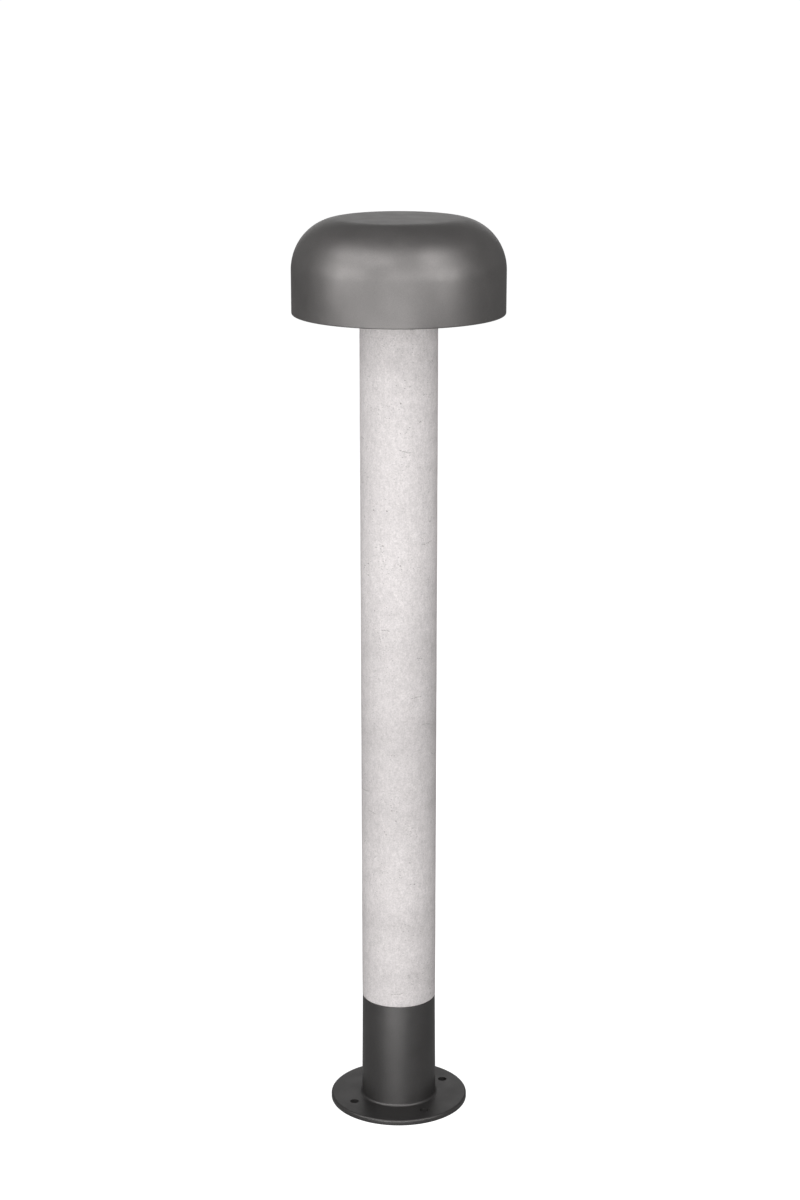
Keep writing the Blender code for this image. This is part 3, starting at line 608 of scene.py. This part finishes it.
def dome():
    """Flat top, rounded shoulder, straight wall and a rolled rim; the inside follows the outside."""
    low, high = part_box("head_shell")
    flat = high.x - SHOULDER_WIDTH
    shoulder = (flat, high.z - SHOULDER_HEIGHT)
    outer = (SHOULDER_WIDTH, SHOULDER_HEIGHT)
    inner = (SHOULDER_WIDTH - HEAD_WALL, SHOULDER_HEIGHT - HEAD_WALL)
    rim = 0.5 * HEAD_WALL
    outline = [
        (0.0, high.z),
        (0.5 * flat, high.z),
        *arc(shoulder, outer, 90, 0, 40),
        *arc((high.x - rim, low.z + rim), (rim, rim), 0, -180, 10),
        *arc(shoulder, inner, 0, 90, 24),
        (0.0, high.z - HEAD_WALL),
    ]
    piece = lathe("dome", outline, FINE)
    stand_in(piece, "head_shell")


def neck():
    """Cap on the column: skirt round the concrete, ring under the tray, and a plate over the gasket."""
    low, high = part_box("neck_flange")
    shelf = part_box("inner_reflector")[0].z
    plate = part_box("neck_gasket")[1].z + GAP
    edge = 0.5 * (NECK_SKIRT_RADIUS - NECK_BORE_RADIUS)
    bevel = 0.6 * MM
    outline = [
        (high.x, high.z),
        (high.x, shelf),
        (NECK_SKIRT_RADIUS + bevel, shelf),
        (NECK_SKIRT_RADIUS, shelf - bevel),
        *arc((NECK_SKIRT_RADIUS - edge, low.z + edge), (edge, edge), 0, -180, 8),
        (NECK_BORE_RADIUS, plate),
        (TUBE_CLEAR_RADIUS, plate),
        (TUBE_CLEAR_RADIUS, high.z),
    ]
    piece = lathe("neck_cap", outline, FINE)
    places = round_places(NECK_SCREW_COUNT, NECK_SCREW_CIRCLE_RADIUS, math.radians(60))
    cut_rods(piece, places, NECK_SCREW_HOLE_RADIUS, high.z - NECK_SCREW_DEPTH - MM, high.z + MM)
    stand_in(piece, "neck_flange")


def opal_ring():
    """The cover under the lamp, with a rounded edge and its screw holes."""
    low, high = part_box("diffuser")
    piece = rounded_ring("opal_ring", DIFFUSER_HOLE_RADIUS, high.x, low.z, high.z, DIFFUSER_EDGE, FINE)
    cut_rods(piece, diffuser_screw_places(), SCREW_CLEARANCE_RADIUS, low.z - MM, high.z + MM)
    stand_in(piece, "diffuser")


def diffuser_screw_places():
    boxes = [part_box(f"diffuser_screw_{number + 1}") for number in range(DIFFUSER_SCREW_COUNT)]
    return [((low.x + high.x) / 2, (low.y + high.y) / 2) for low, high in boxes]


def diffuser_screws():
    """Button-head screws with a hexagon socket, driven upwards through the opal ring."""
    for number, place in enumerate(diffuser_screw_places(), 1):
        node = f"diffuser_screw_{number}"
        low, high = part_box(node)
        head = (high.x - low.x) / 2
        seat = low.z + SCREW_HEAD_HEIGHT
        crown = (head - SCREW_ROUND, seat - SCREW_BAND)
        outline = [
            (0.0, high.z),
            (M3_RADIUS - 0.4 * MM, high.z),
            *thread_rows(M3_RADIUS, M3_THREAD_DEPTH, M3_PITCH, high.z - 0.3 * MM, seat + 0.4 * MM),
            (M3_RADIUS, seat),
            (head - 0.1 * MM, seat),
            *arc(crown, (SCREW_ROUND, SCREW_HEAD_HEIGHT - SCREW_BAND), 0, -90, 8),
            (0.0, low.z),
        ]
        piece = lathe(f"button_screw_{number}", outline, SMALL, place)
        wind(piece, place, M3_RADIUS, M3_THREAD_DEPTH, M3_PITCH)
        cut_rods(piece, [place], SCREW_SOCKET_RADIUS, low.z - MM, low.z + SCREW_SOCKET_DEPTH, 6)
        stand_in(piece, node)


def plain_rings():
    """Washers, gaskets, liner rings and the grommet."""
    for node, (inner, edge) in RINGS.items():
        low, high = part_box(node)
        outer = (high.x - low.x) / 2
        stand_in(rounded_ring(node + "_ring", inner, outer, low.z, high.z, edge), node)


# ---------------------------------------------------------------- pipe, nuts and connector


def pipe():
    """The clamping pipe, with a thread at each end."""
    low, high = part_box("core_tube")
    radius = high.x
    inner = radius - TUBE_WALL
    lead = 1.0 * MM
    bevel = 0.5 * MM
    upper = (high.z - lead, high.z - TUBE_THREAD_LENGTH)
    lower = (low.z + TUBE_THREAD_LENGTH, low.z + lead)
    outline = [
        (radius - lead, high.z),
        *thread_rows(radius, TUBE_THREAD_DEPTH, TUBE_PITCH, *upper),
        (radius, upper[1] - MM),
        (radius, lower[0] + MM),
        *thread_rows(radius, TUBE_THREAD_DEPTH, TUBE_PITCH, *lower),
        (radius - lead, low.z),
        (inner + bevel, low.z),
        (inner, low.z + bevel),
        (inner, high.z - bevel),
        (inner + bevel, high.z),
    ]
    piece = lathe("threaded_pipe", outline)
    wind(piece, (0.0, 0.0), radius, TUBE_THREAD_DEPTH, TUBE_PITCH)
    stand_in(piece, "core_tube")


def lock_nut(node):
    """A hexagon nut whose corners are turned off at both ends, bored for the pipe."""
    low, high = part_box(node)
    flat = NUT_HEX_RADIUS * math.cos(math.radians(30)) - 0.4 * MM
    bevel = 0.8 * MM
    outline = [
        (flat, high.z),
        (NUT_HEX_RADIUS + MM, high.z - NUT_CHAMFER),
        (NUT_HEX_RADIUS + MM, low.z + NUT_CHAMFER),
        (flat, low.z),
        (TUBE_CLEAR_RADIUS + bevel, low.z),
        (TUBE_CLEAR_RADIUS, low.z + bevel),
        (TUBE_CLEAR_RADIUS, high.z - bevel),
        (TUBE_CLEAR_RADIUS + bevel, high.z),
    ]
    piece = lathe(node + "_hexagon", outline)
    bm = bmesh.new()
    place = Matrix.Translation((0, 0, (low.z + high.z) / 2)) @ Matrix.Rotation(NUT_TURN, 4, "Z")
    add_rod(bm, place, NUT_HEX_RADIUS, high.z - low.z + 2 * MM, 6)
    combine(piece, helper(bm), "INTERSECT")
    stand_in(piece, node)


def grips(obj, radius):
    """Presses shallow finger flutes into the outer side of a turned piece."""
    for vert in obj.data.vertices:
        out = math.hypot(vert.co.x, vert.co.y)
        if out > radius - 0.05 * MM:
            wave = max(0.0, math.cos(GRIP_COUNT * math.atan2(vert.co.y, vert.co.x)))
            factor = (out - GRIP_DEPTH * wave**2) / out
            vert.co.x *= factor
            vert.co.y *= factor


def connector():
    """Waterproof connector: a body with two ridges, and a fluted gland nut at each end."""
    low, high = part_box("connector_body")
    radius = high.x
    waist = radius - 0.8 * MM
    edge = 1.2 * MM
    bevel = 0.6 * MM
    outline = [
        (0.0, high.z),
        *arc((radius - edge, high.z - edge), (edge, edge), 90, 0, 5),
        (radius, high.z - 5 * MM),
        (waist, high.z - 6 * MM),
        (waist, low.z + 6 * MM),
        (radius, low.z + 5 * MM),
        *arc((radius - edge, low.z + edge), (edge, edge), 0, -90, 5),
        (0.0, low.z),
    ]
    stand_in(lathe("connector_barrel", outline), "connector_body")
    for node, inlet in (("connector_upper_nut", False), ("connector_inlet_nut", True)):
        low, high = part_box(node)
        radius = high.x
        outline = [
            (0.0, high.z),
            *arc((radius - edge, high.z - edge), (edge, edge), 90, 0, 5),
            *arc((radius - 2 * edge, low.z + 2 * edge), (2 * edge, 2 * edge), 0, -90, 6),
        ]
        middle = low.z
        if inlet:
            middle = low.z + SUPPLY_INLET_DEPTH
            outline += [
                (SUPPLY_INLET_RADIUS + bevel, low.z),
                (SUPPLY_INLET_RADIUS, low.z + bevel),
                (SUPPLY_INLET_RADIUS, middle),
            ]
        outline.append((0.0, middle))
        piece = lathe(node + "_fluted", outline, 12 * GRIP_COUNT)
        grips(piece, radius)
        stand_in(piece, node)


# ---------------------------------------------------------------- column


def blemishes(rng, radius, low_z, high_z):
    """Air holes in loose groups, and fine nearly level cracks. Each one is its angle and height on the
    column, half length, half height, depth and slope."""
    found = []
    for _ in range(PORE_GROUPS):
        centre = rng.uniform(0, math.tau)
        level = rng.uniform(low_z, high_z)
        for _ in range(rng.integers(1, 2 * PORES_PER_GROUP)):
            angle = centre + rng.normal(0.0, PORE_SPREAD) / radius
            height = level + rng.normal(0.0, PORE_SPREAD)
            size = min(0.90, 0.30 * math.exp(abs(rng.normal(0.0, 0.55)))) * MM
            stretch = rng.uniform(1.0, 1.8)
            depth = size * rng.uniform(0.4, 0.8)
            found.append((angle, height, size * stretch, size / stretch, depth, rng.normal(0.0, 0.4)))
    for _ in range(CRACK_COUNT):
        angle = rng.uniform(0, math.tau)
        height = rng.uniform(low_z, high_z)
        slope = rng.uniform(-0.25, 0.25)
        for _ in range(rng.integers(2, 7)):
            wide = rng.uniform(0.8, 2.1) * MM
            tilt = slope + rng.normal(0.0, 0.2)
            found.append((angle, height, wide, CRACK_HALF_HEIGHT, CRACK_DEPTH, tilt))
            angle += (1.4 * wide + rng.uniform(0.0, 1.0) * MM) / radius
            height += 1.4 * slope * wide + rng.normal(0.0, 0.3) * MM
    return [hole for hole in found if low_z + 2 * MM < hole[1] < high_z - 2 * MM]


def sink_and_shade_in_holes(points, radius, holes):
    """How far each point of the outside sinks, and the painted shade that darkens it in a hole or crack,
    from 0 to 1 by how deep in it the point lies.
    """
    angles = np.arctan2(points[:, 1], points[:, 0])
    sink = np.zeros(len(points))
    share = np.zeros(len(points))
    for angle, height, wide, tall, depth, slope in holes:
        across = (np.mod(angles - angle + math.pi, math.tau) - math.pi) * radius
        up = points[:, 2] - height
        along = across * math.cos(slope) + up * math.sin(slope)
        over = up * math.cos(slope) - across * math.sin(slope)
        inside = np.clip(1 - (along / wide) ** 2 - (over / tall) ** 2, 0, None)
        sink = np.maximum(sink, depth * np.sqrt(inside))
        # Painted shade: the tone turns darker towards the middle of a hole or crack
        share = np.maximum(share, np.clip(HOLE_SHADE_RATE * inside, 0, 1))
    return sink, share


def refine(bm, radius, holes, cell):
    """Splits the faces of the outside that lie on or beside a hole."""
    faces = [f for f in bm.faces if abs(f.normal.z) < 0.5 and f.normal.dot(f.calc_center_median()) > 0]
    centres = np.array([f.calc_center_median() for f in faces])
    angles = np.arctan2(centres[:, 1], centres[:, 0])
    near = np.zeros(len(faces), bool)
    for angle, height, wide, tall, _, slope in holes:
        across = np.abs(np.mod(angles - angle + math.pi, math.tau) - math.pi) * radius
        rise = tall + wide * abs(math.sin(slope))
        near |= (across < wide + 0.6 * cell) & (np.abs(centres[:, 2] - height) < rise + 0.6 * cell)
    edges = {edge for face, wanted in zip(faces, near) if wanted for edge in face.edges}
    edges = sorted(edges, key=lambda edge: edge.index)
    bmesh.ops.subdivide_edges(bm, edges=edges, cuts=1, use_grid_fill=True)
    bm.edges.index_update()
    bm.normal_update()


def column():
    """The concrete pipe, with air holes, cracks and a slight unevenness modelled in its outer face, and
    painted shade for the holes and cracks kept in a point attribute.
    """
    low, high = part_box("concrete_sleeve")
    radius = high.x
    edge = (COLUMN_EDGE, COLUMN_EDGE)
    side = radius - COLUMN_EDGE
    rows = round((high.z - low.z - 2 * COLUMN_EDGE) / COLUMN_ROW)
    heights = np.linspace(high.z - COLUMN_EDGE, low.z + COLUMN_EDGE, rows + 1)
    outline = [
        *arc((side, high.z - COLUMN_EDGE), edge, 90, 0, 4),
        *[(radius, float(height)) for height in heights[1:-1]],
        *arc((side, low.z + COLUMN_EDGE), edge, 0, -90, 4),
        (COLUMN_BORE_RADIUS, low.z),
        (COLUMN_BORE_RADIUS, high.z),
    ]
    piece = lathe("concrete_column", outline, COLUMN_SIDES)
    rng = np.random.default_rng(BLEMISH_SEED)
    holes = blemishes(rng, radius, low.z, high.z)

    mesh = piece.data
    bm = bmesh.new()
    bm.from_mesh(mesh)
    bm.normal_update()
    for level in range(COLUMN_SPLITS):
        refine(bm, radius, holes, COLUMN_ROW / 2**level)
    bm.to_mesh(mesh)
    bm.free()

    points = np.empty(len(mesh.vertices) * 3)
    mesh.vertices.foreach_get("co", points)
    points = points.reshape(-1, 3)
    out = np.hypot(points[:, 0], points[:, 1])
    outside = out > side
    on_wall = outside & (points[:, 2] < high.z - COLUMN_EDGE) & (points[:, 2] > low.z + COLUMN_EDGE)
    sink, share = sink_and_shade_in_holes(points, radius, holes)
    angles = np.arctan2(points[:, 1], points[:, 0])
    wave = np.sin(3 * angles + 90 * points[:, 2]) + np.sin(2 * angles - 47 * points[:, 2])
    # Splitting a face puts its new points on the chord, so the wall is set back to its radius first.
    inwards = sink + COLUMN_SETBACK + COLUMN_WAVE * wave
    target = np.where(on_wall, radius, out) - np.where(outside, inwards, 0)
    points[:, :2] *= (target / out)[:, None]
    mesh.vertices.foreach_set("co", points.ravel())
    # The painted shade of the holes and cracks, for the concrete's material to darken its tone with
    attribute = mesh.attributes.new(PORE_SHADE_ATTRIBUTE, "FLOAT", "POINT")
    attribute.data.foreach_set("value", np.where(outside, share, 0).astype(np.float32))
    smooth(mesh, 70.0)
    mesh.update()
    stand_in(piece, "concrete_sleeve")


# ---------------------------------------------------------------- foot


def foot():
    """Flange, fillet and tapered sleeve in one casting, hollow from below, with four anchor holes."""
    low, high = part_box("foot_casting")
    flange = high.x
    edge = 0.5 * MM
    web_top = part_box("foot_gasket")[0].z - GAP
    web_bottom = web_top - FOOT_WEB_THICKNESS
    lip = FOOT_SLEEVE_TOP_RADIUS - FOOT_WALL
    flange_top = low.z + FLANGE_THICKNESS
    fillet = (FOOT_SLEEVE_BASE_RADIUS + FOOT_FILLET, flange_top + FOOT_FILLET)
    shoulder = (flange - FLANGE_ROUND, flange_top - FLANGE_ROUND)
    outline = [
        *arc((FOOT_SLEEVE_TOP_RADIUS - edge, high.z - edge), (edge, edge), 90, 0, 4),
        *arc(fillet, (FOOT_FILLET, FOOT_FILLET), 180, 270, 10),
        *arc(shoulder, (FLANGE_ROUND, FLANGE_ROUND), 90, 0, 10),
        *arc((flange - edge, low.z + edge), (edge, edge), 0, -90, 4),
        (FOOT_CAVITY_RADIUS + edge, low.z),
        (FOOT_CAVITY_RADIUS, low.z + edge),
        (FOOT_CAVITY_RADIUS, web_bottom),
        (TUBE_CLEAR_RADIUS, web_bottom),
        (TUBE_CLEAR_RADIUS, web_top),
        (lip, web_top),
        (lip, high.z),
    ]
    piece = lathe("foot", outline, FINE)
    places = round_places(ANCHOR_COUNT, ANCHOR_CIRCLE_RADIUS, math.radians(45))
    cut_rods(piece, places, ANCHOR_HOLE_RADIUS, low.z - MM, flange_top + MM)
    stand_in(piece, "foot_casting")


# ---------------------------------------------------------------- materials of the CAD nodes


def dress_frame():
    """Every CAD node gets the material of its slot. The nodes that a piece replaces don't show."""
    for node, slot in SLOTS.items():
        for material_slot in NODES[node].material_slots:
            material_slot.material = MATERIALS[slot]


# ---------------------------------------------------------------- stage, light and camera


def for_camera_rays(tree, others, camera_value):
    """A number that is camera_value for rays straight from the camera, and others for other rays."""
    path = tree.nodes.new("ShaderNodeLightPath")
    value = tree.nodes.new("ShaderNodeMapRange")
    value.inputs["To Min"].default_value = others
    value.inputs["To Max"].default_value = camera_value
    tree.links.new(path.outputs["Is Camera Ray"], value.inputs["Value"])
    return value.outputs["Result"]


def floor():
    """A matt pale floor, lifted to white in the picture without throwing more light on the object."""
    material = bpy.data.materials.new("pale_floor")
    material.use_nodes = True
    tree = material.node_tree
    shader = tree.nodes["Principled BSDF"]
    shader.inputs["Base Color"].default_value = (*FLOOR_COLOUR, 1.0)
    shader.inputs["Roughness"].default_value = 0.9
    shader.inputs["Specular IOR Level"].default_value = 0.0
    shader.inputs["Emission Color"].default_value = (1.0, 1.0, 1.0, 1.0)
    tree.links.new(for_camera_rays(tree, FLOOR_GLOW, FLOOR_LIFT), shader.inputs["Emission Strength"])
    bm = bmesh.new()
    bmesh.ops.create_circle(bm, cap_ends=True, segments=96, radius=FLOOR_RADIUS)
    mesh = bpy.data.meshes.new("floor")
    bm.to_mesh(mesh)
    bm.free()
    obj = bpy.data.objects.new("floor", mesh)
    obj.location.z = CAD_LOW.z - 0.2 * MM
    bpy.context.scene.collection.objects.link(obj)
    mesh.materials.append(material)


def softbox(name, azimuth, elevation, distance, size, power, target_z):
    """A soft area light, placed by its angles from the camera's side and aimed at a height on the axis."""
    angle = CAMERA_AZIMUTH + math.radians(azimuth)
    rise = math.radians(elevation)
    away = Vector((math.sin(angle) * math.cos(rise), -math.cos(angle) * math.cos(rise), math.sin(rise)))
    light = bpy.data.lights.new(name, "AREA")
    light.shape = "RECTANGLE"
    light.size, light.size_y = size
    light.energy = power
    obj = bpy.data.objects.new(name, light)
    obj.location = Vector((0.0, 0.0, target_z)) + away * distance
    obj.rotation_euler = away.to_track_quat("Z", "Y").to_euler()
    obj.visible_camera = False
    bpy.context.scene.collection.objects.link(obj)


def lighting():
    """Softboxes in three rows round the front and one behind, and a dim room with a white surround that
    only the camera sees."""
    world = bpy.data.worlds.new("studio")
    world.use_nodes = True
    bpy.context.scene.world = world
    tree = world.node_tree
    background = tree.nodes["Background"]
    background.inputs["Color"].default_value = (1.0, 1.0, 1.0, 1.0)
    tree.links.new(for_camera_rays(tree, ROOM_LIGHT, SURROUND), background.inputs["Strength"])
    for settings in SOFTBOXES:
        softbox(*settings)


def camera():
    data = bpy.data.cameras.new("camera")
    data.lens = CAMERA_LENS
    data.sensor_width = CAMERA_SENSOR
    data.shift_x, data.shift_y = CAMERA_SHIFT
    obj = bpy.data.objects.new("camera", data)
    across = Vector((math.sin(CAMERA_AZIMUTH), -math.cos(CAMERA_AZIMUTH), 0.0)) * CAMERA_DISTANCE
    obj.location = across + Vector((0.0, 0.0, CAMERA_HEIGHT))
    obj.rotation_euler = (math.pi / 2 - CAMERA_PITCH, 0.0, CAMERA_AZIMUTH)
    bpy.context.scene.collection.objects.link(obj)
    bpy.context.scene.camera = obj
    bpy.context.scene.view_settings.view_transform = "Standard"


camera()
lighting()
floor()
dress_frame()
dome()
neck()
opal_ring()
diffuser_screws()
plain_rings()
pipe()
lock_nut("foot_lock_nut")
lock_nut("neck_lock_nut")
connector()
column()
foot()
